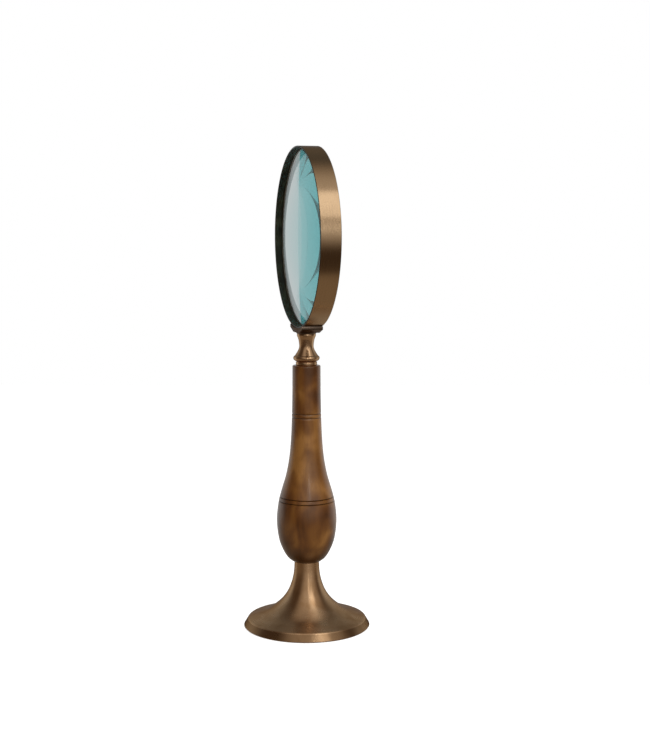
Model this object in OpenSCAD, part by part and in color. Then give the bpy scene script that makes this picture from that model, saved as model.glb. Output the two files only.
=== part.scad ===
// Magnifying glass on a turned stand. Millimetres, +Z up.
// The origin is the centre of the felt under the foot. The lens looks along Y, its front towards -Y.

/* [Foot] */
// Diameter of the foot where it meets the felt
foot_d = 100; // [96:1:106]
// Height of the slanted skirt round the foot
foot_skirt_h = 6.4; // [6:0.1:6.8]
// How far the skirt leans in over its height
foot_skirt_lean = 3.1; // [2.8:0.1:3.6]
// Height of the foot, up to the wood
foot_h = 52.5; // [50:0.5:54]
// Thickness of the felt under the foot
felt_t = 2.2; // [2:0.1:2.6]

/* [Handle] */
// Length of the wooden handle
handle_h = 156.1; // [150:0.1:165]
// Diameter of the bulb at its widest
bulb_d = 47.3; // [46.5:0.1:48]
// Diameter of the wood at the top of the handle
grip_d = 22.2; // [22:0.1:23]
// Depth of the two turned grooves above the bulb
bulb_groove_depth = 0.9; // [0.5:0.1:1.4]
// Depth of the two fine grooves high on the grip
grip_groove_depth = 0.45; // [0.2:0.05:0.8]

/* [Neck] */
// Height of the brass neck, from the washer to the saddle
neck_h = 21.5; // [21:0.1:23]
// Diameter of the bead round the foot of the neck
neck_bead_d = 20.7; // [20:0.1:21.4]
// Diameter of the neck at its waist
neck_waist_d = 11.3; // [11:0.1:12.4]

/* [Hoop and lens] */
// Outside diameter of the hoop
hoop_d = 140.2; // [130:0.2:146]
// Width of the hoop, front to back
hoop_w = 16; // [14:0.5:20]
// Thickness of the hoop's wall
hoop_wall = 1.2; // [1:0.1:1.6]
// How far each face of the lens bulges past its rim
lens_bulge = 9.4; // [5:0.1:14]
// Thickness of the lens at its rim
lens_rim = 2.4; // [2:0.2:4]
// Diameter of the wire that each retaining ring is bent from
wire_d = 1; // [0.8:0.1:1.2]

/* [Saddle] */
// Length of the saddle round the hoop
saddle_l = 35.2; // [30:0.2:40]
// Width of the saddle, front to back
saddle_w = 17; // [16:0.5:20]

/* [Fastenings] */
// Diameter of the rod that ties the stand together
rod_d = 6; // [5:0.5:6]
// Diameter of the screw that holds the hoop to the neck
screw_d = 4; // [3:0.5:4]

/* [Hidden] */
$fn = 96;

brass = [0.55, 0.42, 0.27];
dark_brass = [0.38, 0.28, 0.18];
wood = [0.42, 0.26, 0.12];
steel = [0.66, 0.67, 0.68];
felt_green = [0.12, 0.28, 0.19];
glass_tint = [0.62, 0.86, 0.86, 0.6];

cut = 1;                        // how far a cutter runs past the face it opens
edge = 0.4;                     // bevel on turned edges

// foot
foot_r = foot_d / 2;
felt_proud = 0.4;               // felt below the brass
felt_r = foot_r - 3.5;
cavity_r = felt_r - 4.5;        // mouth of the hollow under the foot
cavity_top = 14;
cavity_roof_r = 21;
spigot_r = 7;                   // turned peg that centres the handle
spigot_h = 6;

// rod and what clamps it
rod_r = rod_d / 2;
rod_hole_r = rod_r + 0.1;
pivot_r = rod_r + 0.05;         // running fit of the neck on the rod
washer_t = 1.6;
washer_r = 9;
lock_t = 1.6;
lock_r = 5.6;
lock_gap = 1.2;
lock_slant = 25;
nut_af = 10;
nut_h = 5;
nut_top = cavity_top - washer_t - lock_t;
rod_end = 1.2;                  // rod below the nut
rod_bottom = nut_top - nut_h - rod_end;

// handle
handle_z = foot_h;
handle_top = handle_z + handle_h;
bulb_r = bulb_d / 2;
grip_r = grip_d / 2;
bore_r = rod_r + 0.3;
bulb_grooves = [[22, 48.9], [21.3, 52.1]];  // [radius of the wood, height up the handle]
grip_grooves = [[11.55, 115.1], [11.55, 118.2]];
groove_half_w = 1;              // half the width of the tool that turns the grooves

// ferrule and washer under the neck
ferrule_r = 8.3;
ferrule_h = 3.1;
ferrule_tail_r = 5.5;
ferrule_tail_h = 12;
friction_t = 0.4;
friction_r = 7.2;

// neck
neck_z = handle_top + ferrule_h + friction_t;
neck_top = neck_z + neck_h;
bead_r = neck_bead_d / 2;
waist_r = neck_waist_d / 2;
neck_lip_r = 7.45;
rod_reach = 10;                 // rod inside the neck
rod_top = neck_z + rod_reach;
pivot_depth = rod_reach + 1.4;

// hoop, lens and saddle
hoop_r = hoop_d / 2;
hoop_in = hoop_r - hoop_wall;
saddle_foot_r = 7.9;            // round pad that meets the neck
saddle_foot_h = 0.8;
saddle_min = 3.5;               // saddle's thickness under the hoop
saddle_end = 2.5;               // height of its end faces
hoop_z = neck_top + saddle_min + saddle_foot_h + hoop_r;
lens_fit = 0.2;                 // between the rim of the lens and the hoop
lens_r = hoop_in - lens_fit;
ball_r = (lens_r * lens_r + lens_bulge * lens_bulge) / (2 * lens_bulge);
ball_y = ball_r - lens_bulge - lens_rim / 2;
wire_r = wire_d / 2;
wire_ring_r = hoop_in - wire_r;
wire_fit = 0.02;                // between the wire and the face of the lens
wire_y = sqrt(pow(ball_r + wire_r + wire_fit, 2) - pow(wire_ring_r, 2)) - ball_y;
wire_gap = 3;
screw_r = screw_d / 2;
screw_head_r = 2 * screw_r;
screw_sink = 0.05;              // top of the screw below the inside of the hoop
screw_top = hoop_z - hoop_in - screw_sink;
slot_w = 0.8;
screw_l = 12;

// Unit direction from one knot to the next, taken across its neighbours
function heading(k, i) =
    let (a = k[max(i - 1, 0)], b = k[min(i + 1, len(k) - 1)]) (b - a) / norm(b - a);

// Point at t, from 0 to 1, on the cubic that leaves a along u and reaches b along v
function cubic(a, b, u, v, t) =
    let (d = norm(b - a), s = 1 - t)
    s * s * (1 + 2 * t) * a + t * s * s * d * u + t * t * (3 - 2 * t) * b - t * t * s * d * v;

// Smooth curve through the knots, with the given number of steps between neighbours
function smooth(k, steps = 6) = concat(
    [for (i = [0 : len(k) - 2]) for (j = [0 : steps - 1])
        cubic(k[i], k[i + 1], heading(k, i), heading(k, i + 1), j / steps)],
    [k[len(k) - 1]]
);

// Solid turned about Z from an outline of [radius, height] points
module turned(outline) {
    rotate_extrude() polygon(outline);
}

// Plain washer whose lower face is at z
module ring(outer_r, inner_r, z, h) {
    translate([0, 0, z]) difference() {
        cylinder(r = outer_r, h = h);
        translate([0, 0, -cut]) cylinder(r = inner_r, h = h + 2 * cut);
    }
}

// Upright hole about Z from z to z + h
module hole(r, z, h) {
    translate([0, 0, z]) cylinder(r = r, h = h);
}

// V-section turning cut at [radius, height up the handle], depth below the wood
module groove(at, depth) {
    z = handle_z + at[1];
    turned([[at[0] - depth, z], [at[0] + cut, z - groove_half_w], [at[0] + cut, z + groove_half_w]]);
}

// Turns what was drawn along Z to lie along the lens's axis, centred in the hoop
module on_lens_axis() {
    translate([0, 0, hoop_z]) rotate([90, 0, 0]) children();
}

// Upper face of the foot, from the skirt's lip up to the wood
function foot_flare() = smooth([
    [foot_r - 4.7, foot_skirt_h + 0.8],
    [foot_r - 10.7, 9.4],
    [31.8, 12.1],
    [24.9, 16.8],
    [19.4, 22],
    [15, 28.3],
    [12.1, 35.4],
    [10.3, 43.4],
    [9.7, foot_h]
]);

// Roof of the hollow under the foot, from its mouth to the flat that takes the washer
function foot_roof() = smooth([
    [cavity_r, felt_t], [cavity_r - 2, 4.3], [33, 7.2], [27, 10.4], [cavity_roof_r, cavity_top]
], 4);

module foot() {
    skirt_top_r = foot_r - foot_skirt_lean;
    color(brass) difference() {
        turned(concat(
            [[0, felt_proud], [foot_r - 2 * edge, felt_proud], [foot_r, felt_proud + 2 * edge]],
            [[skirt_top_r, foot_skirt_h], [skirt_top_r - edge, foot_skirt_h + edge]],
            foot_flare(),
            [[spigot_r, foot_h], [spigot_r, foot_h + spigot_h], [0, foot_h + spigot_h]]
        ));
        hole(felt_r, -cut, felt_t + cut);
        turned(concat([[0, 0], [cavity_r, 0]], foot_roof(), [[0, cavity_top]]));
        hole(rod_hole_r, 0, foot_h + spigot_h + cut);
    }
}

module felt_pad() {
    color(felt_green) cylinder(r = felt_r, h = felt_t);
}

module foot_washer() {
    color(steel) ring(washer_r, rod_hole_r, cavity_top - washer_t, washer_t);
}

module lock_washer() {
    color(steel) difference() {
        ring(lock_r, rod_hole_r, nut_top, lock_t);
        translate([0, 0, nut_top + lock_t / 2]) rotate([lock_slant, 0, 0])
            translate([0, -lock_gap / 2, -lock_t * 2]) cube([lock_r + cut, lock_gap, lock_t * 4]);
    }
}

module foot_nut() {
    color(steel) difference() {
        translate([0, 0, nut_top - nut_h]) cylinder(r = nut_af / 2 / cos(30), h = nut_h, $fn = 6);
        hole(rod_r, nut_top - nut_h - cut, nut_h + 2 * cut);
    }
}

module tie_rod() {
    color(steel) turned([
        [0, rod_bottom], [rod_r - edge, rod_bottom], [rod_r, rod_bottom + edge],
        [rod_r, rod_top - edge], [rod_r - edge, rod_top], [0, rod_top]
    ]);
}

// Side of the handle, from its lower edge to its top
function handle_side() = concat(
    smooth([
        [10.6, handle_z],
        [14.6, handle_z + 3],
        [18.6, handle_z + 9.2],
        [22, handle_z + 18.4],
        [bulb_r, handle_z + 33],
        [22.2, handle_z + 48],
        [19.6, handle_z + 58.2],
        [16.2, handle_z + 69.8],
        [13.6, handle_z + 84],
        [12.2, handle_z + 100],
        [11.5, handle_z + 118],
        [grip_r, handle_z + 140],
        [grip_r - 0.1, handle_top - 1]
    ]),
    [[grip_r - 0.5, handle_top]]
);

module handle() {
    color(wood) difference() {
        turned(concat([[0, handle_z]], handle_side(), [[0, handle_top]]));
        for (at = bulb_grooves) groove(at, bulb_groove_depth);
        for (at = grip_grooves) groove(at, grip_groove_depth);
        hole(bore_r, handle_z - cut, handle_h + 2 * cut);
        hole(spigot_r, handle_z - cut, spigot_h + cut);
        hole(ferrule_tail_r, handle_top - ferrule_tail_h, ferrule_tail_h + cut);
    }
}

module ferrule() {
    tail_z = handle_top - ferrule_tail_h;
    flange_z = handle_top + ferrule_h;
    color(brass) turned([
        [rod_hole_r, tail_z], [ferrule_tail_r - edge, tail_z], [ferrule_tail_r, tail_z + edge],
        [ferrule_tail_r, handle_top], [ferrule_r, handle_top],
        [ferrule_r, flange_z - edge], [ferrule_r - edge, flange_z], [rod_hole_r, flange_z]
    ]);
}

module friction_washer() {
    color(steel) ring(friction_r, rod_hole_r, handle_top + ferrule_h, friction_t);
}

// Side of the neck, from under its bead to the pad of the saddle
function neck_side() = concat(
    smooth([
        [bead_r - 1.6, neck_z],
        [bead_r - 0.4, neck_z + 1.1],
        [bead_r, neck_z + 2.4],
        [bead_r - 0.5, neck_z + 3.6],
        [bead_r - 1.35, neck_z + 4.2]
    ], 4),
    smooth([
        [bead_r - 1.5, neck_z + 4.5],
        [7.1, neck_z + 7.3],
        [waist_r + 0.2, neck_z + 10],
        [waist_r, neck_z + 12.4],
        [waist_r + 0.6, neck_z + 16.7],
        [neck_lip_r - 0.4, neck_z + 18.9],
        [neck_lip_r, neck_z + 20.2],
        [neck_lip_r - 0.3, neck_top]
    ], 4)
);

module neck() {
    color(brass) difference() {
        turned(concat([[0, neck_z]], neck_side(), [[0, neck_top]]));
        hole(pivot_r, neck_z - cut, pivot_depth + cut);
        hole(screw_r, screw_top - screw_l, screw_l);
    }
}

// Countersunk hole, or the screw that fills it, down from the inside of the hoop
module countersunk() {
    head_h = screw_head_r - screw_r;
    turned([
        [0, screw_top], [screw_head_r, screw_top], [screw_r, screw_top - head_h],
        [screw_r, screw_top - screw_l], [0, screw_top - screw_l]
    ]);
}

module saddle() {
    half_l = saddle_l / 2;
    foot_z = neck_top + saddle_foot_h;
    end_z = hoop_z - sqrt(hoop_r * hoop_r - half_l * half_l);
    color(dark_brass) difference() {
        union() {
            translate([0, saddle_w / 2, 0]) rotate([90, 0, 0]) linear_extrude(saddle_w) polygon([
                [-saddle_foot_r, foot_z], [saddle_foot_r, foot_z],
                [half_l, end_z - saddle_end], [half_l, end_z],
                [-half_l, end_z], [-half_l, end_z - saddle_end]
            ]);
            hole(saddle_foot_r, neck_top, saddle_foot_h);
        }
        on_lens_axis() cylinder(r = hoop_r, h = 2 * saddle_w, center = true, $fn = 360);
        countersunk();
        hole(screw_r, neck_top - cut, saddle_min + 2 * cut);
    }
}

module saddle_screw() {
    slot = [2 * screw_head_r, slot_w, slot_w];
    color(brass) difference() {
        countersunk();
        translate([0, 0, screw_top]) cube(slot, center = true);
    }
}

module hoop() {
    half_w = hoop_w / 2;
    bevel = edge * 0.75;
    color(brass) difference() {
        on_lens_axis() turned([
            [hoop_in, bevel - half_w], [hoop_in + bevel, -half_w],
            [hoop_r - bevel, -half_w], [hoop_r, bevel - half_w],
            [hoop_r, half_w - bevel], [hoop_r - bevel, half_w],
            [hoop_in + bevel, half_w], [hoop_in, half_w - bevel]
        ]);
        countersunk();
        hole(screw_head_r, screw_top, cut);
    }
}

// Ring of round wire, split at the bottom of the hoop, at y behind the lens's mid plane
module retaining_ring(y) {
    color(brass) difference() {
        translate([0, y, 0]) on_lens_axis()
            rotate_extrude() translate([wire_ring_r, 0]) circle(r = wire_r);
        translate([-wire_gap / 2, y - wire_d, hoop_z - hoop_r])
            cube([wire_gap, 2 * wire_d, 4 * wire_d]);
    }
}

module front_retaining_ring() {
    retaining_ring(-wire_y);
}

module back_retaining_ring() {
    retaining_ring(wire_y);
}

// Biconvex glass: what two equal balls share, trimmed to a cylinder
module lens() {
    color(glass_tint) on_lens_axis() intersection() {
        cylinder(r = lens_r, h = 4 * lens_bulge, center = true);
        translate([0, 0, ball_y]) sphere(r = ball_r, $fn = 360);
        translate([0, 0, -ball_y]) sphere(r = ball_r, $fn = 360);
    }
}

foot();
felt_pad();
foot_washer();
lock_washer();
foot_nut();
tie_rod();
handle();
ferrule();
friction_washer();
neck();
saddle();
saddle_screw();
hoop();
front_retaining_ring();
back_retaining_ring();
lens();
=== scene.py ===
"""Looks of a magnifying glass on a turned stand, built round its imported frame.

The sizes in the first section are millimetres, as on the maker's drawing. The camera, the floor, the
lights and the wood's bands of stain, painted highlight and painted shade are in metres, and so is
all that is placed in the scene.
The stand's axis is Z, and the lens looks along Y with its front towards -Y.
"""
import math

import bmesh
import bpy
from mathutils import Matrix, Vector, noise


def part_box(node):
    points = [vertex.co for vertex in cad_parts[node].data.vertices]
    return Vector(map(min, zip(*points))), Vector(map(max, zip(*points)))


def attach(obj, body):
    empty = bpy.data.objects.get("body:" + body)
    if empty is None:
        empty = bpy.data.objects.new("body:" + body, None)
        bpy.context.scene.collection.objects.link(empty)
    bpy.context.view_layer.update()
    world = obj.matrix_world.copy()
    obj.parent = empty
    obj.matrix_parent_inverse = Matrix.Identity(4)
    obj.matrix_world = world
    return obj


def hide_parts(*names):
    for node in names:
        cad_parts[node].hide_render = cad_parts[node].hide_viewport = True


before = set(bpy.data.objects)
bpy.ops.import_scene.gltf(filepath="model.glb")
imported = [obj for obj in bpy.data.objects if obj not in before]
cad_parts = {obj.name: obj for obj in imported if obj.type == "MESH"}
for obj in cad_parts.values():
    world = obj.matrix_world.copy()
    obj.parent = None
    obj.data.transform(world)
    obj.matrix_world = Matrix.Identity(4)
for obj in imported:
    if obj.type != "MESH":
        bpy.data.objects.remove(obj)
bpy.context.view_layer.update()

MM = 0.001

# --- Sizes of the turned pieces, each from its own lower end --------------------------------------

SOFT_EDGE = 0.4                 # broken corner on turned edges
ROD_BORE = 3.1                  # radius of the hole for the tie rod in the metal pieces

SKIRT_H = 6.4                   # slanted skirt round the foot
SKIRT_LEAN = 3.1
FELT_PROUD = 0.4                # felt below the brass
FELT_T = 2.2
FELT_SHY = 0.15                 # how far the felt's edge stays inside its recess
FELT_EDGE = 0.45                # rounding of its cut edge
FELT_RIPPLE = 0.09
SPIGOT_R = 7.0                  # turned peg that centres the handle
SPIGOT_H = 6.0
FOOT_FLARE = [(45.3, 7.2), (39.3, 9.4), (31.8, 12.1), (24.9, 16.8), (19.4, 22.0), (15.0, 28.3),
              (12.1, 35.4), (10.3, 43.4), (9.7, 52.5)]
FOOT_ROOF = [(21.0, 14.0), (27.0, 10.4), (33.0, 7.2), (40.0, 4.3), (42.0, 2.2)]

HANDLE_SIDE = [(10.6, 0.0), (14.6, 3.0), (18.6, 9.2), (22.0, 18.4), (23.65, 33.0), (22.2, 48.0),
               (19.6, 58.2), (16.2, 69.8), (13.6, 84.0), (12.2, 100.0), (11.5, 118.0),
               (11.1, 140.0), (11.0, 155.1)]
BULB_GROOVES = (48.9, 52.1)
GRIP_GROOVES = (115.1, 118.2)
BULB_GROOVE_DEPTH = 0.9
GRIP_GROOVE_DEPTH = 0.45
GROOVE_HALF_W = 0.55
GRIP_EDGE = 0.8                 # rounding at the top of the grip
HANDLE_BORE = 3.3

FERRULE_R = 8.3
FERRULE_H = 3.1
FERRULE_BARREL = [(-0.5, 0.0), (-0.08, 0.5), (0.0, 1.5), (-0.08, FERRULE_H - 0.6),
                  (-0.55, FERRULE_H)]
TAIL_R = 5.5                    # ferrule's tail, let into the top of the handle
TAIL_H = 12.0

NECK_BEAD = [(8.75, 0.0), (9.95, 1.1), (10.35, 2.4), (9.85, 3.6), (9.0, 4.2)]
NECK_STEM = [(8.85, 4.5), (7.1, 7.3), (5.85, 10.0), (5.65, 12.4), (6.25, 16.7), (7.05, 18.9),
             (7.45, 20.2), (7.15, 21.5)]
PIVOT_DEPTH = 11.4
SCREW_R = 2.0
SCREW_HEAD_R = 4.0

SADDLE_PAD_R = 7.9              # round pad that meets the neck
SADDLE_PAD_H = 0.8
SADDLE_PAD_EDGE = 0.25
SADDLE_PAD_SINK = 0.6           # how far the pad runs up into the block
SADDLE_END_H = 2.5
SADDLE_EDGE = 0.28              # width of its broken edges

LENS_RIM = 2.4
LENS_FIT = 0.2                  # between the lens and the hoop
HOOP_WALL = 1.2
HOOP_BEVEL = 0.3
WIRE_R = 0.5
WIRE_GAP = 3.0                  # between the two ends of each wire ring


# --- Sizes taken from the frame, in millimetres ---------------------------------------------------

def half_width(node):
    """Half the width of a CAD node across X."""
    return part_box(node)[1].x / MM


def heights(node):
    """Heights of a CAD node's lower and upper ends."""
    low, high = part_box(node)
    return low.z / MM, high.z / MM


# --- Outlines -------------------------------------------------------------------------------------

def heading(knots, i):
    """Unit direction of the curve at a knot, taken across its neighbours."""
    return (knots[min(i + 1, len(knots) - 1)] - knots[max(i - 1, 0)]).normalized()


def smooth(knots, steps=12):
    """Points of the smooth curve through (radius, height) knots."""
    k = [Vector(p) for p in knots]
    points = []
    for i in range(len(k) - 1):
        a, b = k[i], k[i + 1]
        d = (b - a).length
        u, v = heading(k, i) * d, heading(k, i + 1) * d
        for j in range(steps):
            t = j / steps
            s = 1 - t
            points.append(s * s * (1 + 2 * t) * a + t * s * s * u
                          + t * t * (3 - 2 * t) * b - t * t * s * v)
    points.append(k[-1])
    return [tuple(p) for p in points]


def arc(centre, radius, start, end, steps):
    """Points on an arc, its angles in degrees from the radius axis."""
    out = []
    for i in range(steps + 1):
        a = math.radians(start + (end - start) * i / steps)
        out.append((centre[0] + radius * math.cos(a), centre[1] + radius * math.sin(a)))
    return out


def radius_at(outline, z):
    """Radius of an outline that climbs steadily, at height z."""
    for (r0, z0), (r1, z1) in zip(outline, outline[1:]):
        if z0 <= z <= z1:
            return r0 + (r1 - r0) * (z - z0) / max(z1 - z0, 1e-9)
    raise ValueError(f"height {z} is outside the outline")


def grooved(outline, z, depth, half_w):
    """The outline with one round-bottomed turning groove cut into it at height z."""
    r = radius_at(outline, z)
    low, high = (radius_at(outline, z + s * half_w) for s in (-1, 1))
    cut = [(low, z - half_w), (r - 0.12 * depth, z - 0.8 * half_w),
           (r - 0.85 * depth, z - 0.3 * half_w), (r - depth, z),
           (r - 0.85 * depth, z + 0.3 * half_w), (r - 0.12 * depth, z + 0.8 * half_w),
           (high, z + half_w)]
    below = [p for p in outline if p[1] < z - half_w - 0.05]
    above = [p for p in outline if p[1] > z + half_w + 0.05]
    return below + cut + above


# --- Geometry nodes: a lathe ----------------------------------------------------------------------

WELD = 1e-6                     # metres, or millimetres in an outline, that count as no distance


def lathe_tree():
    """Turns a polyline of (radius, 0, height) points into a turned surface about Z."""
    tree = bpy.data.node_groups.new("turn on lathe", "GeometryNodeTree")
    for name, kind in (("Geometry", "Geometry"), ("Segments", "Int"), ("Sweep", "Float"),
                       ("Start", "Float"), ("Crease", "Float"), ("Material", "Material")):
        tree.interface.new_socket(name, in_out="INPUT", socket_type="NodeSocket" + kind)
    tree.interface.new_socket("Geometry", in_out="OUTPUT", socket_type="NodeSocketGeometry")
    link = tree.links.new

    def add(kind, **settings):
        whole_name = kind.startswith(("Shader", "Node"))
        node = tree.nodes.new(kind if whole_name else "GeometryNode" + kind)
        for key, value in settings.items():
            setattr(node, key, value)
        return node

    def maths(operation, a, b):
        node = add("ShaderNodeMath", operation=operation)
        for socket, value in zip(node.inputs, (a, b)):
            if isinstance(value, (int, float)):
                socket.default_value = value
            else:
                link(value, socket)
        return node.outputs[0]

    given = add("NodeGroupInput").outputs
    count = add("AttributeDomainSize", component="MESH")
    link(given["Geometry"], count.inputs["Geometry"])
    grid = add("MeshGrid")
    grid.inputs["Size X"].default_value = 1.0
    grid.inputs["Size Y"].default_value = 1.0
    link(maths("ADD", given["Segments"], 1), grid.inputs["Vertices X"])
    link(count.outputs["Point Count"], grid.inputs["Vertices Y"])

    place = add("ShaderNodeSeparateXYZ")
    link(add("InputPosition").outputs[0], place.inputs[0])
    around = maths("ADD", place.outputs["X"], 0.5)
    along = maths("ADD", place.outputs["Y"], 0.5)
    last = maths("SUBTRACT", count.outputs["Point Count"], 1)
    row = maths("ROUND", maths("MULTIPLY", along, last), 0)
    angle = maths("ADD", maths("MULTIPLY", around, given["Sweep"]), given["Start"])

    def from_outline(value, data_type):
        node = add("SampleIndex", data_type=data_type)
        link(given["Geometry"], node.inputs["Geometry"])
        link(value, node.inputs["Value"])
        link(row, node.inputs["Index"])
        return node.outputs[0]

    def carried(name):
        node = add("InputNamedAttribute", data_type="FLOAT")
        node.inputs["Name"].default_value = name
        return from_outline(node.outputs["Attribute"], "FLOAT")

    turn = add("ShaderNodeVectorRotate", rotation_type="Z_AXIS")
    link(from_outline(add("InputPosition").outputs[0], "FLOAT_VECTOR"), turn.inputs["Vector"])
    link(angle, turn.inputs["Angle"])

    shape = grid.outputs["Mesh"]

    def store(name, data_type, domain, value):
        nonlocal shape
        node = add("StoreNamedAttribute", data_type=data_type, domain=domain)
        node.inputs["Name"].default_value = name
        link(shape, node.inputs["Geometry"])
        link(value, node.inputs["Value"])
        shape = node.outputs["Geometry"]

    store("UVMap", "FLOAT2", "CORNER", grid.outputs["UV Map"])
    for mark in ("wear", "dirt"):
        store(mark, "FLOAT", "POINT", carried(mark))
    moved = add("SetPosition")
    link(shape, moved.inputs["Geometry"])
    link(turn.outputs[0], moved.inputs["Position"])
    closed = add("MergeByDistance")
    link(moved.outputs[0], closed.inputs["Geometry"])
    closed.inputs["Distance"].default_value = WELD
    soft = add("SetShadeSmooth", domain="FACE")
    link(closed.outputs[0], soft.inputs["Geometry"])
    crisp = add("SetShadeSmooth", domain="EDGE")
    link(soft.outputs[0], crisp.inputs["Geometry"])
    link(maths("LESS_THAN", add("InputMeshEdgeAngle").outputs["Unsigned Angle"], given["Crease"]),
         crisp.inputs["Shade Smooth"])
    real = add("RealizeInstances")
    link(crisp.outputs[0], real.inputs[0])
    finish = add("SetMaterial")
    link(real.outputs[0], finish.inputs["Geometry"])
    link(given["Material"], finish.inputs["Material"])
    link(finish.outputs[0], add("NodeGroupOutput").inputs[0])
    return tree


LATHE = lathe_tree()
SMOOTH_BEND = 0.2               # radians at one point of an outline that still pass for a curve
FULL_BEND = 0.5                 # radians past that at which a corner is marked in full
FULL_FOLD = 0.8                 # radians of fold at which an edge of a mesh is marked in full


def shares(bends, full):
    """Each bend as a share of a full one, from 0 to 1."""
    return [min(max(bend / full, 0.0), 1.0) for bend in bends]


def set_marks(mesh, wear, dirt):
    """Stores the two marks that the brass and the wood read at each point."""
    for name, values in (("wear", wear), ("dirt", dirt)):
        old = mesh.attributes.get(name)
        if old:
            mesh.attributes.remove(old)
        mesh.attributes.new(name, "FLOAT", "POINT").data.foreach_set("value", values)


def corner_marks(outline, closed):
    """For each point of an outline: how far it stands out as an edge, and how far it is a nook."""
    bends = []
    n = len(outline)
    for i in range(n):
        at_end = not closed and i in (0, n - 1)
        a, b, c = (Vector(outline[(i + k) % n]) for k in (-1, 0, 1))
        straight = at_end or (b - a).length < WELD or (c - b).length < WELD
        bends.append(0.0 if straight else (b - a).angle_signed(c - b, 0.0))
    return (shares([-bend - SMOOTH_BEND for bend in bends], FULL_BEND),
            shares([bend - SMOOTH_BEND for bend in bends], FULL_BEND))


def turned(name, outline, material, segments=192, sweep=360.0, start=0.0, crease=32.0,
           closed=False):
    """A turned piece from an outline of (radius, height) in millimetres, as a plain mesh."""
    wear, dirt = corner_marks(outline, closed)
    ring = outline + outline[:1] if closed else outline
    if closed:
        wear, dirt = wear + wear[:1], dirt + dirt[:1]
    line = bpy.data.meshes.new(name + " outline")
    edges = [(i, i + 1) for i in range(len(ring) - 1)]
    line.from_pydata([(r * MM, 0.0, z * MM) for r, z in ring], edges, [])
    set_marks(line, wear, dirt)
    blank = bpy.data.objects.new(name + " blank", line)
    bpy.context.scene.collection.objects.link(blank)
    modifier = blank.modifiers.new("lathe", "NODES")
    modifier.node_group = LATHE
    settings = {"Segments": segments, "Sweep": math.radians(sweep), "Start": math.radians(start),
                "Crease": math.radians(crease), "Material": material}
    for item in LATHE.interface.items_tree:
        if item.item_type == "SOCKET" and item.in_out == "INPUT" and item.name in settings:
            modifier[item.identifier] = settings[item.name]
    mesh = evaluated_mesh(blank, name)
    bpy.data.objects.remove(blank)
    return new_piece(name, mesh)


def evaluated_mesh(thing, name):
    """A mesh of its own with what an object's modifiers make of it."""
    bpy.context.view_layer.update()
    evaluated = thing.evaluated_get(bpy.context.evaluated_depsgraph_get())
    mesh = bpy.data.meshes.new_from_object(evaluated)
    mesh.name = name
    return mesh


def new_piece(name, mesh):
    """Links a mesh as a piece whose object sits at the origin."""
    piece = bpy.data.objects.new(name, mesh)
    bpy.context.scene.collection.objects.link(piece)
    return piece


def settle(piece):
    """Replaces a piece's mesh with what its modifiers make of it, and takes them off."""
    mesh = evaluated_mesh(piece, piece.name)
    piece.modifiers.clear()
    piece.data = mesh


def work_with(piece, operation, tool):
    """Joins a closed tool piece to a piece, or cuts it from it, and removes it."""
    for each in (piece, tool):
        face_outwards(each.data)
    step = piece.modifiers.new("work", "BOOLEAN")
    step.operation = operation
    step.solver = "EXACT"
    step.object = tool
    settle(piece)
    bpy.data.objects.remove(tool)


def face_outwards(mesh):
    """Makes the faces of a closed mesh point outwards, and caps any open end."""
    work = bmesh.new()
    work.from_mesh(mesh)
    open_edges = [e for e in work.edges if e.is_boundary]
    if open_edges:
        bmesh.ops.holes_fill(work, edges=open_edges, sides=0)
    bmesh.ops.recalc_face_normals(work, faces=work.faces)
    work.to_mesh(mesh)
    work.free()


def mark_edges(mesh):
    """Gives a mesh the wear of its standing edges and the dirt of its nooks."""
    work = bmesh.new()
    work.from_mesh(mesh)
    folds = [[e.calc_face_angle_signed(0.0) for e in vertex.link_edges] for vertex in work.verts]
    work.free()
    set_marks(mesh, shares([max(f, default=0.0) for f in folds], FULL_FOLD),
              shares([-min(f, default=0.0) for f in folds], FULL_FOLD))


def fitted(piece, body, slot_name, *nodes):
    """Closes a finished piece, hangs it on its body and hides the CAD nodes it stands for."""
    face_outwards(piece.data)
    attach(piece, body)
    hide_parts(*nodes)
    return piece


def raised(outline, by):
    """The outline lifted to its height on the stand."""
    return [(r, z + by) for r, z in outline]


# --- Materials ------------------------------------------------------------------------------------

MIX_INPUTS = (0, 6, 7)          # where a Mix node takes its factor and its two colours
MIX_OUTPUT = 2


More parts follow.
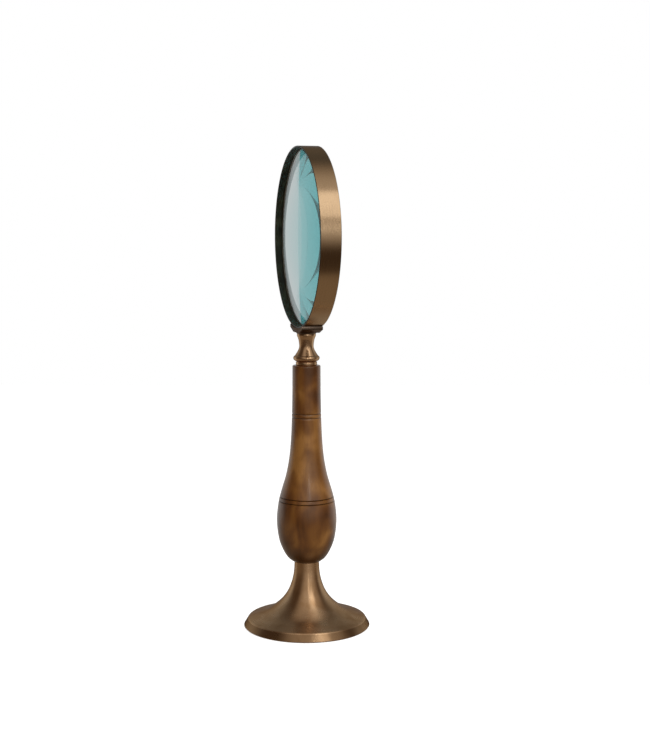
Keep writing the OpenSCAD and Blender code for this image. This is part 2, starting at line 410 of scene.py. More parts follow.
class Finish:
    """One procedural material, with short calls for the nodes it is made of."""

    def __init__(self, name):
        self.material = bpy.data.materials.new(name)
        self.material.use_nodes = True
        self.tree = self.material.node_tree
        self.tree.nodes.clear()
        self.skin = self.node("BsdfPrincipled")
        self.out = self.node("OutputMaterial")
        self.link(self.skin.outputs[0], self.out.inputs["Surface"])
        self.place = self.node("TexCoord").outputs["Object"]

    def node(self, kind, **settings):
        made = self.tree.nodes.new("ShaderNode" + kind)
        for key, value in settings.items():
            setattr(made, key, value)
        return made

    def link(self, source, target):
        self.tree.links.new(source, target)

    def put(self, socket, value):
        if isinstance(value, bpy.types.NodeSocket):
            self.link(value, socket)
        elif socket.type == "RGBA":
            socket.default_value = (*value, 1.0)
        else:
            socket.default_value = value

    def set(self, **sockets):
        for key, value in sockets.items():
            self.put(self.skin.inputs[key.replace("_", " ")], value)

    def stretched(self, x, y, z, turn=(0.0, 0.0, 0.0)):
        """Object coordinates scaled by x, y and z."""
        made = self.node("Mapping")
        self.link(self.place, made.inputs["Vector"])
        made.inputs["Scale"].default_value = (x, y, z)
        made.inputs["Rotation"].default_value = turn
        return made.outputs[0]

    def noise(self, where, scale, detail, rough, distort=0.0):
        made = self.node("TexNoise")
        for name, value in (("Vector", where), ("Scale", scale), ("Detail", detail),
                            ("Roughness", rough), ("Distortion", distort)):
            self.put(made.inputs[name], value)
        return made.outputs[0]

    def maths(self, operation, a, b, c=0.0, clamp=False):
        made = self.node("Math", operation=operation, use_clamp=clamp)
        for socket, value in zip(made.inputs, (a, b, c)):
            self.put(socket, value)
        return made.outputs[0]

    def spread(self, value, low, high, to_low=0.0, to_high=1.0):
        """value moved from the range low to high, to the range to_low to to_high."""
        made = self.node("MapRange", clamp=True)
        for socket, number in zip(made.inputs, (value, low, high, to_low, to_high)):
            self.put(socket, number)
        return made.outputs[0]

    def mix(self, amount, a, b):
        """The colour an amount of the way from a to b."""
        made = self.node("Mix", data_type="RGBA")
        for i, value in zip(MIX_INPUTS, (amount, a, b)):
            self.put(made.inputs[i], value)
        return made.outputs[MIX_OUTPUT]

    def ramp(self, value, *stops):
        made = self.node("ValToRGB")
        self.link(value, made.inputs[0])
        marks = made.color_ramp.elements
        while len(marks) < len(stops):
            marks.new(0.5)
        for mark, (at, colour) in zip(marks, stops):
            mark.position = at
            mark.color = (*colour, 1.0)
        return made.outputs[0]

    def bump(self, height, distance, strength, under=None):
        made = self.node("Bump")
        for name, value in (("Height", height), ("Distance", distance), ("Strength", strength)):
            self.put(made.inputs[name], value)
        if under is not None:
            self.link(under, made.inputs["Normal"])
        return made.outputs[0]

    def mark(self, name):
        """One of the piece's own attributes."""
        return self.node("Attribute", attribute_name=name).outputs["Fac"]

    def rings(self, across, along):
        """Turning-line coordinates: distance from the stand's axis, and height."""
        reach = self.node("VectorMath", operation="LENGTH")
        self.link(self.stretched(across, across, 0.0), reach.inputs[0])
        split = self.node("SeparateXYZ")
        self.link(self.stretched(0.0, 0.0, along), split.inputs[0])
        made = self.node("CombineXYZ")
        self.link(reach.outputs["Value"], made.inputs["X"])
        self.link(split.outputs["Z"], made.inputs["Y"])
        return made.outputs[0]

    def lathe_direction(self):
        """Direction round a turned piece, which its tool marks follow."""
        return self.node("Tangent", direction_type="UV_MAP", uv_map="UVMap").outputs[0]

    def height(self):
        """Height above the floor, in metres."""
        split = self.node("SeparateXYZ")
        self.link(self.place, split.inputs[0])
        return split.outputs["Z"]


DIRT = (0.018, 0.011, 0.006)
SKIRT_PAINTED_SHADE = (0.27, 0.155, 0.075)      # painted shade: the foot's skirt is darkened to hold down its reflection of the key light
TARNISH = (0.34, 0.32, 0.32)    # what is left of the brass's shine where it is seen edge-on
RUBBED_BRIGHT = 1.25            # how much brighter worn edges are
QUARTER_TURN = 0.25             # stretches a highlight across the tool marks


def turned_brass(name, bright, dull, polish, spread):
    """Brass turned on a lathe, then darkened: cloudy patina, fine rings, bright worn edges; painted
    shade on the foot's skirt.
    """
    f = Finish(name)
    clouds = f.noise(f.stretched(1, 1, 0.7), 70, 5, 0.62, 0.4)
    specks = f.noise(f.place, 1400, 3, 0.6)
    lines = f.noise(f.rings(2600, 2600), 1.0, 3, 0.7)
    colour = f.mix(f.spread(clouds, 0.36, 0.64), dull, bright)
    colour = f.mix(f.spread(specks, 0.60, 0.78, 0.0, 0.12), colour, dull)
    colour = f.mix(f.spread(lines, 0.45, 0.75, 0.0, 0.12), colour, dull)
    colour = f.mix(f.maths("MULTIPLY", f.mark("dirt"), 0.9, clamp=True), colour, DIRT)
    worn = f.maths("MULTIPLY", f.mark("wear"), f.spread(clouds, 0.3, 0.6, 0.2, 0.6))
    colour = f.mix(worn, colour, tuple(min(c * RUBBED_BRIGHT, 1.0) for c in bright))
    # painted shade on the foot's skirt, below the top of its slant
    skirt = f.spread(f.height(), (SKIRT_H - SOFT_EDGE) * MM, SKIRT_H * MM, 0.62, 0.0)
    colour = f.mix(skirt, colour, SKIRT_PAINTED_SHADE)
    rough = f.maths("ADD", f.spread(clouds, 0.3, 0.7, polish + 0.03, polish - 0.02),
                    f.spread(lines, 0.3, 0.7, -0.01, 0.02))
    f.set(Base_Color=colour, Metallic=1.0, Roughness=rough, Anisotropic=spread,
          Specular_Tint=TARNISH, Anisotropic_Rotation=QUARTER_TURN, Tangent=f.lathe_direction(),
          Normal=f.bump(lines, 0.00003, 0.08))
    return f.material


def brushed_brass():
    """The hoop's outer wall: brass brushed round its length, lightly lacquered."""
    f = Finish("brushed hoop brass")
    strokes = f.noise(f.stretched(40, 7000, 40), 1.0, 4, 0.7)
    wide = f.noise(f.stretched(12, 900, 12), 1.0, 3, 0.6)
    clouds = f.noise(f.place, 45, 4, 0.6)
    colour = f.mix(f.spread(strokes, 0.35, 0.65), (0.53, 0.355, 0.20), (0.61, 0.42, 0.25))
    colour = f.mix(f.spread(wide, 0.50, 0.72, 0.0, 0.22), colour, (0.44, 0.28, 0.155))
    colour = f.mix(f.spread(clouds, 0.45, 0.70, 0.0, 0.25), colour, (0.46, 0.29, 0.16))
    colour = f.mix(f.maths("MULTIPLY", f.mark("wear"), 0.35), colour, (0.74, 0.56, 0.36))
    rough = f.maths("ADD", f.spread(strokes, 0.3, 0.7, 0.24, 0.30),
                    f.spread(clouds, 0.3, 0.7, 0.0, 0.03))
    f.set(Base_Color=colour, Metallic=1.0, Roughness=rough, Anisotropic=0.85,
          Specular_Tint=TARNISH, Anisotropic_Rotation=QUARTER_TURN, Tangent=f.lathe_direction(),
          Normal=f.bump(strokes, 0.00002, 0.25))
    return f.material


def blackened_brass():
    """The hoop's inner wall, dipped dark so that it doesn't glare into the lens."""
    f = Finish("blackened inner wall")
    strokes = f.noise(f.stretched(60, 3500, 60), 1.0, 3, 0.6)
    clouds = f.noise(f.place, 90, 4, 0.6)
    colour = f.mix(f.spread(clouds, 0.35, 0.68), (0.016, 0.016, 0.010), (0.058, 0.058, 0.030))
    colour = f.mix(f.spread(strokes, 0.55, 0.75, 0.0, 0.5), colour, (0.060, 0.056, 0.032))
    f.set(Base_Color=colour, Metallic=0.2, Roughness=f.spread(strokes, 0.3, 0.7, 0.36, 0.50),
          Normal=f.bump(strokes, 0.00003, 0.3))
    return f.material


def drawn_wire():
    """Dull drawn wire of the retaining rings."""
    f = Finish("drawn wire")
    specks = f.noise(f.place, 700, 4, 0.6)
    clouds = f.noise(f.place, 120, 3, 0.6)
    colour = f.mix(f.spread(clouds, 0.35, 0.65), (0.20, 0.19, 0.16), (0.36, 0.34, 0.29))
    colour = f.mix(f.spread(specks, 0.55, 0.75, 0.0, 0.5), colour, (0.10, 0.09, 0.07))
    f.set(Base_Color=colour, Metallic=1.0, Roughness=f.spread(specks, 0.3, 0.7, 0.32, 0.46),
          Normal=f.bump(specks, 0.00003, 0.3))
    return f.material


AMBER = (0.320, 0.144, 0.034)
HONEY = (0.200, 0.080, 0.015)
BROWN = (0.130, 0.045, 0.008)
UMBER = (0.070, 0.022, 0.004)
PORE_BROWN = (0.030, 0.012, 0.004)
# foot of the handle: partly stain, partly painted reflection of the dark below
BASE_STAIN_AND_DARK_REFLECTION = (0.026, 0.011, 0.004)
GROOVE_BROWN = (0.024, 0.010, 0.003)

# Bands by height above the handle's lower end: where each begins and is complete
SHOULDER_HIGHLIGHT_BEGINS = (0.052, 0.060)     # painted highlight on the shoulder, from here
SHOULDER_HIGHLIGHT_ENDS = (0.084, 0.106)       # to here
# painted shade on the grip
GRIP_PAINTED_SHADE = (0.096, 0.125)
BASE_DARK_H = 0.016                 # darker just above the foot: partly stain, partly painted reflection of the dark below
TOP_BAND = 0.0016               # dark end of the grip, under the ferrule


def stained_wood():
    """Turned hardwood, stained unevenly along its grain, with a painted highlight on the shoulder
    above the bulb's grooves, painted shade on the grip, a foot darkened by stain and by a painted
    reflection of the dark below, and finished with satin lacquer."""
    f = Finish("stained wood")
    blotches = f.noise(f.stretched(1, 1, 0.62, turn=(0.2, 0.1, 0.0)), 58, 2, 0.4, 0.5)
    flames = f.noise(f.stretched(1, 1, 0.22), 150, 3, 0.5, 0.6)
    streaks = f.noise(f.stretched(1, 1, 0.045), 900, 4, 0.65)
    pores = f.noise(f.stretched(1, 1, 0.07), 3200, 2, 0.5)
    tone = f.maths("ADD", f.maths("MULTIPLY", blotches, 0.84), f.maths("MULTIPLY", flames, 0.16))
    low_z, top_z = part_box("handle")[0].z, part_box("handle")[1].z
    z = f.height()

    def band(limits, to_low, to_high):
        return f.spread(z, low_z + limits[0], low_z + limits[1], to_low, to_high)

    # painted highlight: the shoulder's tone is raised between these bands
    shoulder_highlight = f.maths("MINIMUM", band(SHOULDER_HIGHLIGHT_BEGINS, 0.0, 1.0), band(SHOULDER_HIGHLIGHT_ENDS, 1.0, 0.0))
    tone = f.maths("MULTIPLY_ADD", shoulder_highlight, 0.12, tone)
    # painted shade: the grip's tone is lowered
    tone = f.maths("SUBTRACT", tone, band(GRIP_PAINTED_SHADE, 0.0, 0.055))
    colour = f.ramp(tone, (0.34, UMBER), (0.44, BROWN), (0.54, HONEY), (0.66, AMBER))
    colour = f.mix(f.spread(streaks, 0.48, 0.72, 0.0, 0.20), colour, UMBER)
    colour = f.mix(f.spread(pores, 0.62, 0.74, 0.0, 0.35), colour, PORE_BROWN)
    # darker towards the foot: partly stain, partly painted reflection of the dark below
    colour = f.mix(band((0.0, BASE_DARK_H), 0.80, 0.0), colour, BASE_STAIN_AND_DARK_REFLECTION)
    colour = f.mix(f.spread(z, top_z - TOP_BAND, top_z, 0.0, 0.6), colour, UMBER)
    colour = f.mix(f.maths("MULTIPLY", f.mark("dirt"), 1.1, clamp=True), colour, GROOVE_BROWN)
    rough = f.maths("ADD", f.spread(blotches, 0.3, 0.7, 0.32, 0.40),
                    f.spread(pores, 0.6, 0.8, 0.0, 0.15))
    f.set(Base_Color=colour, Roughness=rough, Coat_Weight=0.55, Coat_Roughness=0.20,
          Specular_IOR_Level=1.0, Specular_Tint=(1.0, 0.84, 0.66),
          Normal=f.bump(pores, 0.00006, -0.35, under=f.bump(streaks, 0.0001, 0.25)))
    return f.material


def green_baize():
    """Pressed wool felt: short crossed fibres with a soft nap."""
    f = Finish("green baize")
    fibres = f.noise(f.stretched(1, 0.25, 1), 5200, 4, 0.75, 1.2)
    crossed = f.noise(f.stretched(0.25, 1, 1), 5200, 4, 0.75, 1.2)
    clumps = f.noise(f.place, 420, 4, 0.6)
    nap = f.maths("MAXIMUM", fibres, crossed)
    colour = f.mix(f.spread(nap, 0.45, 0.72), (0.010, 0.045, 0.024), (0.042, 0.150, 0.082))
    colour = f.mix(f.spread(clumps, 0.4, 0.65, 0.0, 0.4), colour, (0.022, 0.085, 0.050))
    f.set(Base_Color=colour, Roughness=0.95, Sheen_Weight=0.5, Sheen_Roughness=0.5,
          Normal=f.bump(nap, 0.00025, 0.8, under=f.bump(clumps, 0.0004, 0.4)))
    return f.material


def zinc_steel(name, light, dark, rough):
    """Plated steel of the fastenings, spangled and a little dulled."""
    f = Finish(name)
    spangle = f.node("TexVoronoi")
    f.link(f.place, spangle.inputs["Vector"])
    spangle.inputs["Scale"].default_value = 900
    grain = f.noise(f.place, 1800, 3, 0.6)
    clouds = f.noise(f.place, 160, 3, 0.6)
    colour = f.mix(f.spread(spangle.outputs["Distance"], 0.1, 0.7), light, dark)
    colour = f.mix(f.spread(clouds, 0.45, 0.7, 0.0, 0.5), colour, dark)
    f.set(Base_Color=colour, Metallic=1.0, Roughness=f.spread(grain, 0.3, 0.7, rough, rough + 0.14),
          Normal=f.bump(grain, 0.00003, 0.3))
    return f.material


def lens_glass():
    """Clear polished glass, its tint deepening with the length of the way through it."""
    f = Finish("lens glass")
    f.set(Base_Color=(1.0, 1.0, 1.0), Roughness=0.0, IOR=1.52, Transmission_Weight=1.0)
    body = f.node("VolumeAbsorption")
    f.put(body.inputs["Color"], (0.10, 0.77, 0.79))
    f.put(body.inputs["Density"], 14.0)
    f.link(body.outputs[0], f.out.inputs["Volume"])
    return f.material


# --- Camera ---------------------------------------------------------------------------------------

CAMERA_AZIMUTH = 74.17          # 0 looks along +Y, 90 along -X
CAMERA_REACH = 1.0578           # level distance from the stand's axis, along the view
CAMERA_SIDESTEP = 0.0145        # how far the camera stands to the right of that axis
CAMERA_HEIGHT = 0.3193
CAMERA_PITCH = 6.389            # degrees below level
CAMERA_LENS = 65.24             # millimetres, as is the width of its sensor
CAMERA_SENSOR = 36.0

turn = math.radians(CAMERA_AZIMUTH)
to_camera = Vector((math.sin(turn), -math.cos(turn), 0.0))
to_right = Vector((math.cos(turn), math.sin(turn), 0.0))
pitch = math.radians(CAMERA_PITCH)
camera = bpy.data.objects.new("camera", bpy.data.cameras.new("camera"))
bpy.context.scene.collection.objects.link(camera)
camera.data.lens = CAMERA_LENS
camera.data.sensor_width = CAMERA_SENSOR
camera.location = (to_camera * CAMERA_REACH + to_right * CAMERA_SIDESTEP
                   + Vector((0.0, 0.0, CAMERA_HEIGHT)))
aim = -to_camera * math.cos(pitch) - Vector((0.0, 0.0, math.sin(pitch)))
camera.rotation_euler = aim.to_track_quat("-Z", "Y").to_euler()
bpy.context.scene.camera = camera

# --- Pieces of the stand --------------------------------------------------------------------------

STAND_BRASS = turned_brass("foot brass", (0.78, 0.530, 0.315), (0.60, 0.370, 0.195), 0.28, 0.90)
NECK_METAL = turned_brass("neck brass", (0.84, 0.575, 0.345), (0.64, 0.405, 0.225), 0.24, 0.85)
SADDLE_METAL = turned_brass("saddle brass", (0.27, 0.21, 0.165), (0.17, 0.13, 0.098), 0.28, 0.0)


def turned_foot():
    """Spun brass foot, hollow underneath, with its skirt, its flare and its centring peg."""
    foot_r = half_width("foot")
    felt_r = half_width("felt_pad")
    skirt_r = foot_r - SKIRT_LEAN
    stem_h = FOOT_FLARE[-1][1]
    outline = [(felt_r, FELT_PROUD), (foot_r - 2 * SOFT_EDGE, FELT_PROUD),
               (foot_r, FELT_PROUD + 2 * SOFT_EDGE), (skirt_r, SKIRT_H),
               (skirt_r - SOFT_EDGE, SKIRT_H + SOFT_EDGE)]
    outline += smooth(FOOT_FLARE)
    outline += [(SPIGOT_R, stem_h), (SPIGOT_R, stem_h + SPIGOT_H), (ROD_BORE, stem_h + SPIGOT_H),
                (ROD_BORE, FOOT_ROOF[0][1])]
    outline += smooth(FOOT_ROOF, 6) + [(felt_r, FELT_T)]
    foot = turned("turned_foot", outline, STAND_BRASS, closed=True)
    return fitted(foot, "stand", "foot_brass", "foot")


def felt_disc():
    """Felt under the foot, its cut edge rounded and its face a little uneven."""
    r = half_width("felt_pad") - FELT_SHY
    rings = 30
    outline = [(r * i / rings, 0.0) for i in range(rings)]
    outline += arc((r - FELT_EDGE, FELT_EDGE), FELT_EDGE, -90, 0, 5)
    outline += [(r, FELT_T), (0.0, FELT_T)]
    disc = turned("felt_disc", outline, green_baize(), segments=160)
    for vertex in disc.data.vertices:
        if vertex.co.z < FELT_PROUD * MM:
            lift = noise.noise(vertex.co * 260) + 0.5 * noise.noise(vertex.co * 900)
            vertex.co.z += FELT_RIPPLE * MM * max(lift + 0.6, 0.0)
    return fitted(disc, "stand", "felt", "felt_pad")


def turned_handle():
    """Wooden handle: bulb, taper and grip, with two pairs of turned grooves."""
    low, high = heights("handle")
    side = smooth(HANDLE_SIDE)
    for z in BULB_GROOVES:
        side = grooved(side, z, BULB_GROOVE_DEPTH, GROOVE_HALF_W)
    for z in GRIP_GROOVES:
        side = grooved(side, z, GRIP_GROOVE_DEPTH, GROOVE_HALF_W)
    grip_r, length = HANDLE_SIDE[-1][0], high - low
    rounding = arc((grip_r - GRIP_EDGE, length - GRIP_EDGE), GRIP_EDGE, 0, 90, 6)
    outline = [(SPIGOT_R, 0.0)] + side[:-1] + rounding
    outline += [(TAIL_R, length), (TAIL_R, length - TAIL_H), (HANDLE_BORE, length - TAIL_H),
                (HANDLE_BORE, SPIGOT_H), (SPIGOT_R, SPIGOT_H)]
    handle = turned("turned_handle", raised(outline, low), stained_wood(), closed=True)
    return fitted(handle, "stand", "stained_wood", "handle")


def turned_ferrule():
    """Brass collar let into the top of the handle, its rim slightly barrelled."""
    low, high = heights("ferrule")
    rim = high - FERRULE_H
    outline = [(ROD_BORE, low), (TAIL_R - SOFT_EDGE, low), (TAIL_R, low + SOFT_EDGE), (TAIL_R, rim)]
    outline += smooth([(FERRULE_R + r, rim + z) for r, z in FERRULE_BARREL], 4)
    outline += [(ROD_BORE, high)]
    ferrule = turned("turned_ferrule", outline, NECK_METAL, segments=128, closed=True)
    return fitted(ferrule, "stand", "foot_brass", "ferrule")


# --- Pieces of the head ---------------------------------------------------------------------------

HOOP_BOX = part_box("hoop")
HOOP_R = half_width("hoop")
HOOP_IN = HOOP_R - HOOP_WALL
HOOP_Z = (HOOP_BOX[1].z - HOOP_BOX[1].x) / MM
SCREW_LOW, SCREW_TOP = heights("saddle_screw")
ON_LENS_AXIS = Matrix.Translation((0, 0, HOOP_Z * MM)) @ Matrix.Rotation(math.pi / 2, 4, "X")


def screw_hole(run_up):
    """Tool the shape of the countersunk screw, run up past the face it enters."""
    head_h = SCREW_HEAD_R - SCREW_R
    outline = [(0.0, SCREW_LOW), (SCREW_R, SCREW_LOW), (SCREW_R, SCREW_TOP - head_h),
               (SCREW_HEAD_R, SCREW_TOP), (SCREW_HEAD_R, SCREW_TOP + run_up),
               (0.0, SCREW_TOP + run_up)]
    return turned("screw hole", outline, None, segments=64)


def turned_neck():
    """Brass neck: a bead, a waist and a lip, bored for the rod below and the screw above."""
    low, high = heights("neck")
    length = high - low
    outline = [(0.0, PIVOT_DEPTH), (ROD_BORE, PIVOT_DEPTH), (ROD_BORE, 0.0)]
    outline += smooth(NECK_BEAD) + smooth(NECK_STEM)
    outline += [(SCREW_R, length), (SCREW_R, SCREW_LOW - low), (0.0, SCREW_LOW - low)]
    neck = turned("turned_neck", raised(outline, low), NECK_METAL, segments=128)
    return fitted(neck, "head", "neck_brass", "neck")


def milled_saddle():
    """Brass block under the hoop: hollowed to its curve above, tapering to a round pad below."""
    low_corner, high_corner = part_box("saddle")
    half_l, half_w = high_corner.x / MM, high_corner.y / MM
    low, end_z = low_corner.z / MM, high_corner.z / MM
    under = low + SADDLE_PAD_H
    reach = math.degrees(math.asin(half_l / HOOP_R))
    seat = arc((0.0, HOOP_Z), HOOP_R, reach - 90, -reach - 90, 28)
    side = ([(-SADDLE_PAD_R, under), (SADDLE_PAD_R, under), (half_l, end_z - SADDLE_END_H)]
            + seat + [(-half_l, end_z - SADDLE_END_H)])
    work = bmesh.new()
    front = [work.verts.new((x * MM, -half_w * MM, z * MM)) for x, z in side]
    back = [work.verts.new((x * MM, half_w * MM, z * MM)) for x, z in side]
    work.faces.new(front)
    work.faces.new(back[::-1])
    for i in range(len(side)):
        j = (i + 1) % len(side)
        work.faces.new((front[i], back[i], back[j], front[j]))
    mesh = bpy.data.meshes.new("milled_saddle")
    work.to_mesh(mesh)
    work.free()
    saddle = new_piece("milled_saddle", mesh)
    pad = turned("pad", [(0.0, low), (SADDLE_PAD_R - SADDLE_PAD_EDGE, low),
                         (SADDLE_PAD_R, low + SADDLE_PAD_EDGE),
                         (SADDLE_PAD_R, under + SADDLE_PAD_SINK), (0.0, under + SADDLE_PAD_SINK)],
                 None, segments=96)
    work_with(saddle, "UNION", pad)
    work_with(saddle, "DIFFERENCE", screw_hole(run_up=6.0))
    soften = saddle.modifiers.new("broken edges", "BEVEL")
    soften.width = SADDLE_EDGE * MM
    soften.segments = 2
    soften.limit_method = "ANGLE"
    soften.angle_limit = math.radians(40)
    settle(saddle)
    mesh = saddle.data
    mesh.materials.clear()
    mesh.materials.append(SADDLE_METAL)
    mark_edges(mesh)
    mesh.shade_smooth()
    mesh.set_sharp_from_angle(angle=math.radians(35))
    return fitted(saddle, "head", "saddle_brass", "saddle")


def brushed_hoop():
    """Brass band round the lens: its outer wall brushed, its rims and inner wall blackened, and
    countersunk for the screw."""
    half_w = HOOP_BOX[1].y / MM
    b = HOOP_BEVEL
    outline = [(HOOP_IN, b - half_w), (HOOP_IN + b, -half_w), (HOOP_R - b, -half_w),
               (HOOP_R, b - half_w), (HOOP_R, half_w - b), (HOOP_R - b, half_w),
               (HOOP_IN + b, half_w), (HOOP_IN, half_w - b)]
    brushed = brushed_brass()
    hoop = turned("brushed_hoop", outline, brushed, segments=256, closed=True)
    hoop.data.transform(ON_LENS_AXIS)
    work_with(hoop, "DIFFERENCE", screw_hole(run_up=1.0))
    hoop.data.materials.clear()
    for finish in (brushed, blackened_brass()):
        hoop.data.materials.append(finish)
    centre = Vector((0.0, 0.0, HOOP_Z * MM))
    for face in hoop.data.polygons:
        off = face.center - centre
        inside = math.hypot(off.x, off.z) < (HOOP_R - b / 4) * MM
        face.material_index = 1 if inside else 0
    return fitted(hoop, "head", "hoop_brass", "hoop")


def wire_ring(name, node, material):
    """Retaining ring bent from round wire, split at the bottom of the hoop."""
    low_corner, high_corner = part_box(node)
    y = (low_corner.y + high_corner.y) / 2 / MM
    ring_r = HOOP_IN - WIRE_R
    gap = math.degrees(WIRE_GAP / ring_r)
    outline = arc((ring_r, -y), WIRE_R, 0, 360, 20)[:-1]
    ring = turned(name, outline, material, segments=240, sweep=360 - gap, start=gap / 2 - 90,
                  crease=50, closed=True)
    ring.data.transform(ON_LENS_AXIS)
    return fitted(ring, "head", "wire_brass", node)


def glass_lens():
    """Biconvex lens: two equal ball faces meeting a narrow cylindrical rim."""
    lens_r = HOOP_IN - LENS_FIT
    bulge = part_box("lens")[1].y / MM - LENS_RIM / 2
    ball_r = (lens_r ** 2 + bulge ** 2) / (2 * bulge)
    span = math.degrees(math.asin(lens_r / ball_r))
    centre = LENS_RIM / 2 + bulge - ball_r
    outline = (arc((0.0, -centre), ball_r, -90, span - 90, 40)
               + arc((0.0, centre), ball_r, 90 - span, 90, 40))
    outline[0] = (0.0, outline[0][1])
    outline[-1] = (0.0, outline[-1][1])
    lens = turned("glass_lens", outline, lens_glass(), segments=256)
    lens.data.transform(ON_LENS_AXIS)
    return fitted(lens, "head", "lens_glass", "lens")


def finish_node(name, material):
    """Gives a carried-over CAD node its finish."""
    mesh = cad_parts[name].data
    if not mesh.materials:
        mesh.materials.append(material)
    for i in range(len(mesh.materials)):
        mesh.materials[i] = material


turned_foot()
felt_disc()
turned_handle()
turned_ferrule()
turned_neck()
milled_saddle()
brushed_hoop()
wire = drawn_wire()
wire_ring("front_wire_ring", "front_retaining_ring", wire)
wire_ring("back_wire_ring", "back_retaining_ring", wire)
glass_lens()

zinc = zinc_steel("zinc-plated steel", (0.62, 0.62, 0.60), (0.40, 0.41, 0.41), 0.28)
spring = zinc_steel("blued spring steel", (0.20, 0.20, 0.22), (0.10, 0.10, 0.115), 0.30)
screw_brass = zinc_steel("screw brass", (0.50, 0.34, 0.18), (0.30, 0.19, 0.09), 0.26)
for name in ("foot_washer", "foot_nut", "tie_rod"):
    finish_node(name, zinc)
for name in ("lock_washer", "friction_washer"):
    finish_node(name, spring)
finish_node("saddle_screw", screw_brass)

# --- Floor and light ------------------------------------------------------------------------------

AIM_HEIGHT = 0.2                # where the lights point, on the stand's axis


def bearing_way(azimuth, elevation):
    """Unit direction at a bearing from the camera's side of the object, and a height."""
    bearing, rise = math.radians(azimuth), math.radians(elevation)
    level = to_camera * math.cos(bearing) + to_right * math.sin(bearing)
    return level * math.cos(rise) + Vector((0.0, 0.0, math.sin(rise)))


def soft_box(name, azimuth, elevation, distance, size, power, glossy=True):
    """A rectangular studio light, placed by its bearing from the camera's side of the object and
    aimed at the middle of it. It isn't seen through the lens."""
    target = Vector((0.0, 0.0, AIM_HEIGHT))
    data = bpy.data.lights.new(name, "AREA")
    data.shape = "RECTANGLE"
    data.size, data.size_y = size
    data.energy = power
    light = bpy.data.objects.new(name, data)
    bpy.context.scene.collection.objects.link(light)
    light.location = target + distance * bearing_way(azimuth, elevation)
    light.rotation_euler = (target - light.location).to_track_quat("-Z", "Y").to_euler()
    light.visible_camera = light.visible_transmission = False
    light.visible_glossy = glossy


def overhead_sun():
    """Wide soft light from above, which only shows on matt surfaces."""
    sun = bpy.data.objects.new("overhead", bpy.data.lights.new("overhead", "SUN"))
    bpy.context.scene.collection.objects.link(sun)
    sun.data.energy = 0.7
    sun.data.angle = math.radians(80)
    sun.visible_glossy = sun.visible_transmission = False


# Brightness of the room by height above level, in degrees
SIDES = ((-90, 0.04), (-4, 0.05), (6, 0.08), (60, 0.07), (70, 0.22), (80, 0.28), (86, 0.14),
         (90, 0.09))
BACKDROP = ((-90, 0.57), (5, 0.55), (14, 0.42), (30, 0.26), (45, 0.16), (60, 0.09), (90, 0.06))
GLOW = ((-90, 0.03), (-16, 0.06), (-8, 0.34), (2, 0.56), (10, 0.66), (22, 0.38), (32, 0.42),
        (62, 0.56), (78, 0.52), (90, 0.42))
THROUGH = ((-90, 0.57), (90, 0.57))
GLOW_FROM = (22, 40)            # bearing from the camera's side, and height, of the soft glow
GLOW_SPREAD = (66, 24)          # degrees from its middle at which it ends and is full
BACKDROP_SPREAD = (90, 58)      # the same, for the backdrop
WARMTH = 0.28                   # how far the dim parts of the room lean to brown


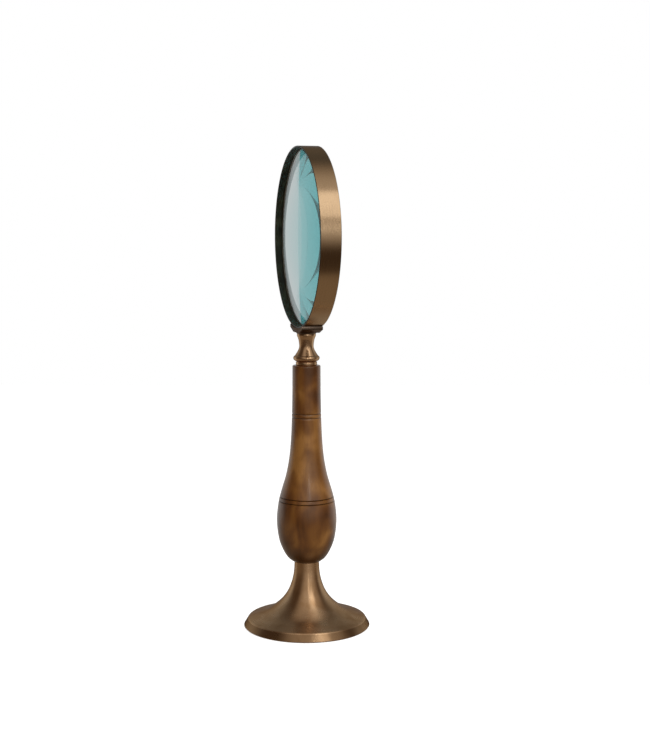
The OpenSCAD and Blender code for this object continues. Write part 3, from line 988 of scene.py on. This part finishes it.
def studio_world():
    """White to the camera; a pale backdrop behind, and all round where it is seen through the lens;
    and a dim room with a soft glow on the camera's side."""
    world = bpy.data.worlds.new("studio")
    world.use_nodes = True
    nodes, link = world.node_tree.nodes, world.node_tree.links.new
    nodes.clear()
    way = nodes.new("ShaderNodeTexCoord").outputs["Generated"]
    split = nodes.new("ShaderNodeSeparateXYZ")
    link(way, split.inputs[0])
    height = nodes.new("ShaderNodeMath")
    height.operation = "MULTIPLY_ADD"
    link(split.outputs["Z"], height.inputs[0])
    height.inputs[1].default_value = height.inputs[2].default_value = 0.5

    def by_height(stops, warmth=0.0):
        """The brightness at each height, warmer where it is dim."""
        made = nodes.new("ShaderNodeValToRGB")
        link(height.outputs[0], made.inputs[0])
        marks = made.color_ramp.elements
        while len(marks) < len(stops):
            marks.new(0.5)
        for mark, (rise, level) in zip(marks, stops):
            mark.position = 0.5 + 0.5 * math.sin(math.radians(rise))
            mark.color = (level, level ** (1 + 0.5 * warmth), level ** (1 + warmth), 1.0)
        return made.outputs[0]

    def near_to(direction, outer, inner):
        """1 within the inner angle of a direction, 0 past the outer one."""
        facing = nodes.new("ShaderNodeVectorMath")
        facing.operation = "DOT_PRODUCT"
        link(way, facing.inputs[0])
        facing.inputs[1].default_value = direction
        made = nodes.new("ShaderNodeMapRange")
        made.interpolation_type = "SMOOTHSTEP"
        link(facing.outputs["Value"], made.inputs[0])
        made.inputs[1].default_value = math.cos(math.radians(outer))
        made.inputs[2].default_value = math.cos(math.radians(inner))
        return made.outputs[0]

    def blended(amount, a, b):
        made = nodes.new("ShaderNodeMix")
        made.data_type = "RGBA"
        for i, source in zip(MIX_INPUTS, (amount, a, b)):
            link(source, made.inputs[i])
        return made.outputs[MIX_OUTPUT]

    behind = near_to(-to_camera, *BACKDROP_SPREAD)
    room = blended(behind, by_height(SIDES, WARMTH), by_height(BACKDROP))
    glowing = near_to(bearing_way(*GLOW_FROM), *GLOW_SPREAD)
    room = blended(glowing, room, by_height(GLOW, WARMTH))
    path = nodes.new("ShaderNodeLightPath").outputs
    room = blended(path["Is Transmission Ray"], room, by_height(THROUGH))
    around = nodes.new("ShaderNodeBackground")
    link(room, around.inputs["Color"])
    sheet = nodes.new("ShaderNodeBackground")
    sheet.inputs["Color"].default_value = (1.0, 1.0, 1.0, 1.0)
    choose = nodes.new("ShaderNodeMixShader")
    link(path["Is Camera Ray"], choose.inputs[0])
    link(around.outputs[0], choose.inputs[1])
    link(sheet.outputs[0], choose.inputs[2])
    link(choose.outputs[0], nodes.new("ShaderNodeOutputWorld").inputs["Surface"])
    bpy.context.scene.world = world


FLOOR_NEAR, FLOOR_FAR = 0.30, -1.6      # its ends, measured from the stand's axis to the camera
FLOOR_HALF = 1.3                        # half its width
FLOOR_BEHIND = (0.57, 0.57, 0.57)       # its tone behind the object, in reflections
FLOOR_AHEAD = (0.215, 0.165, 0.118)     # and in front of it
FLOOR_FADE = (-0.30, -0.02)             # where the first goes over into the second


def pale_floor():
    """A plain pale floor, toned down where it is only seen in the brass and the glass."""
    mesh = bpy.data.meshes.new("floor")
    corners = [to_camera * d + to_right * s for d, s in
               ((FLOOR_NEAR, -FLOOR_HALF), (FLOOR_NEAR, FLOOR_HALF),
                (FLOOR_FAR, FLOOR_HALF), (FLOOR_FAR, -FLOOR_HALF))]
    mesh.from_pydata([tuple(c) for c in corners], [], [(0, 1, 2, 3)])
    floor = new_piece("floor", mesh)
    f = Finish("pale floor")
    ahead = f.node("VectorMath", operation="DOT_PRODUCT")
    f.link(f.place, ahead.inputs[0])
    ahead.inputs[1].default_value = to_camera
    path = f.node("LightPath").outputs
    toned = f.mix(f.spread(ahead.outputs["Value"], *FLOOR_FADE), FLOOR_BEHIND, FLOOR_AHEAD)
    toned = f.mix(path["Is Transmission Ray"], toned, FLOOR_BEHIND)
    seen = path["Is Camera Ray"]
    f.set(Base_Color=f.mix(seen, (0.0, 0.0, 0.0), (0.9, 0.9, 0.9)), Roughness=0.8,
          Specular_IOR_Level=0.0, Emission_Color=f.mix(seen, toned, (0.68, 0.68, 0.68)),
          Emission_Strength=1.0)
    floor.data.materials.append(f.material)


studio_world()
pale_floor()
soft_box("key", 37, 43, 1.3, (0.48, 0.70), 1.36)
soft_box("strip", 14, 20, 1.3, (0.12, 0.36), 0.4)
overhead_sun()
soft_box("fill", 20, 32, 1.2, (0.8, 0.8), 8.0, glossy=False)
bpy.context.scene.view_settings.view_transform = "Standard"
paths = bpy.context.scene.cycles            # light turns back many times inside the thick lens
paths.max_bounces = paths.transmission_bounces = 32
paths.glossy_bounces = 24
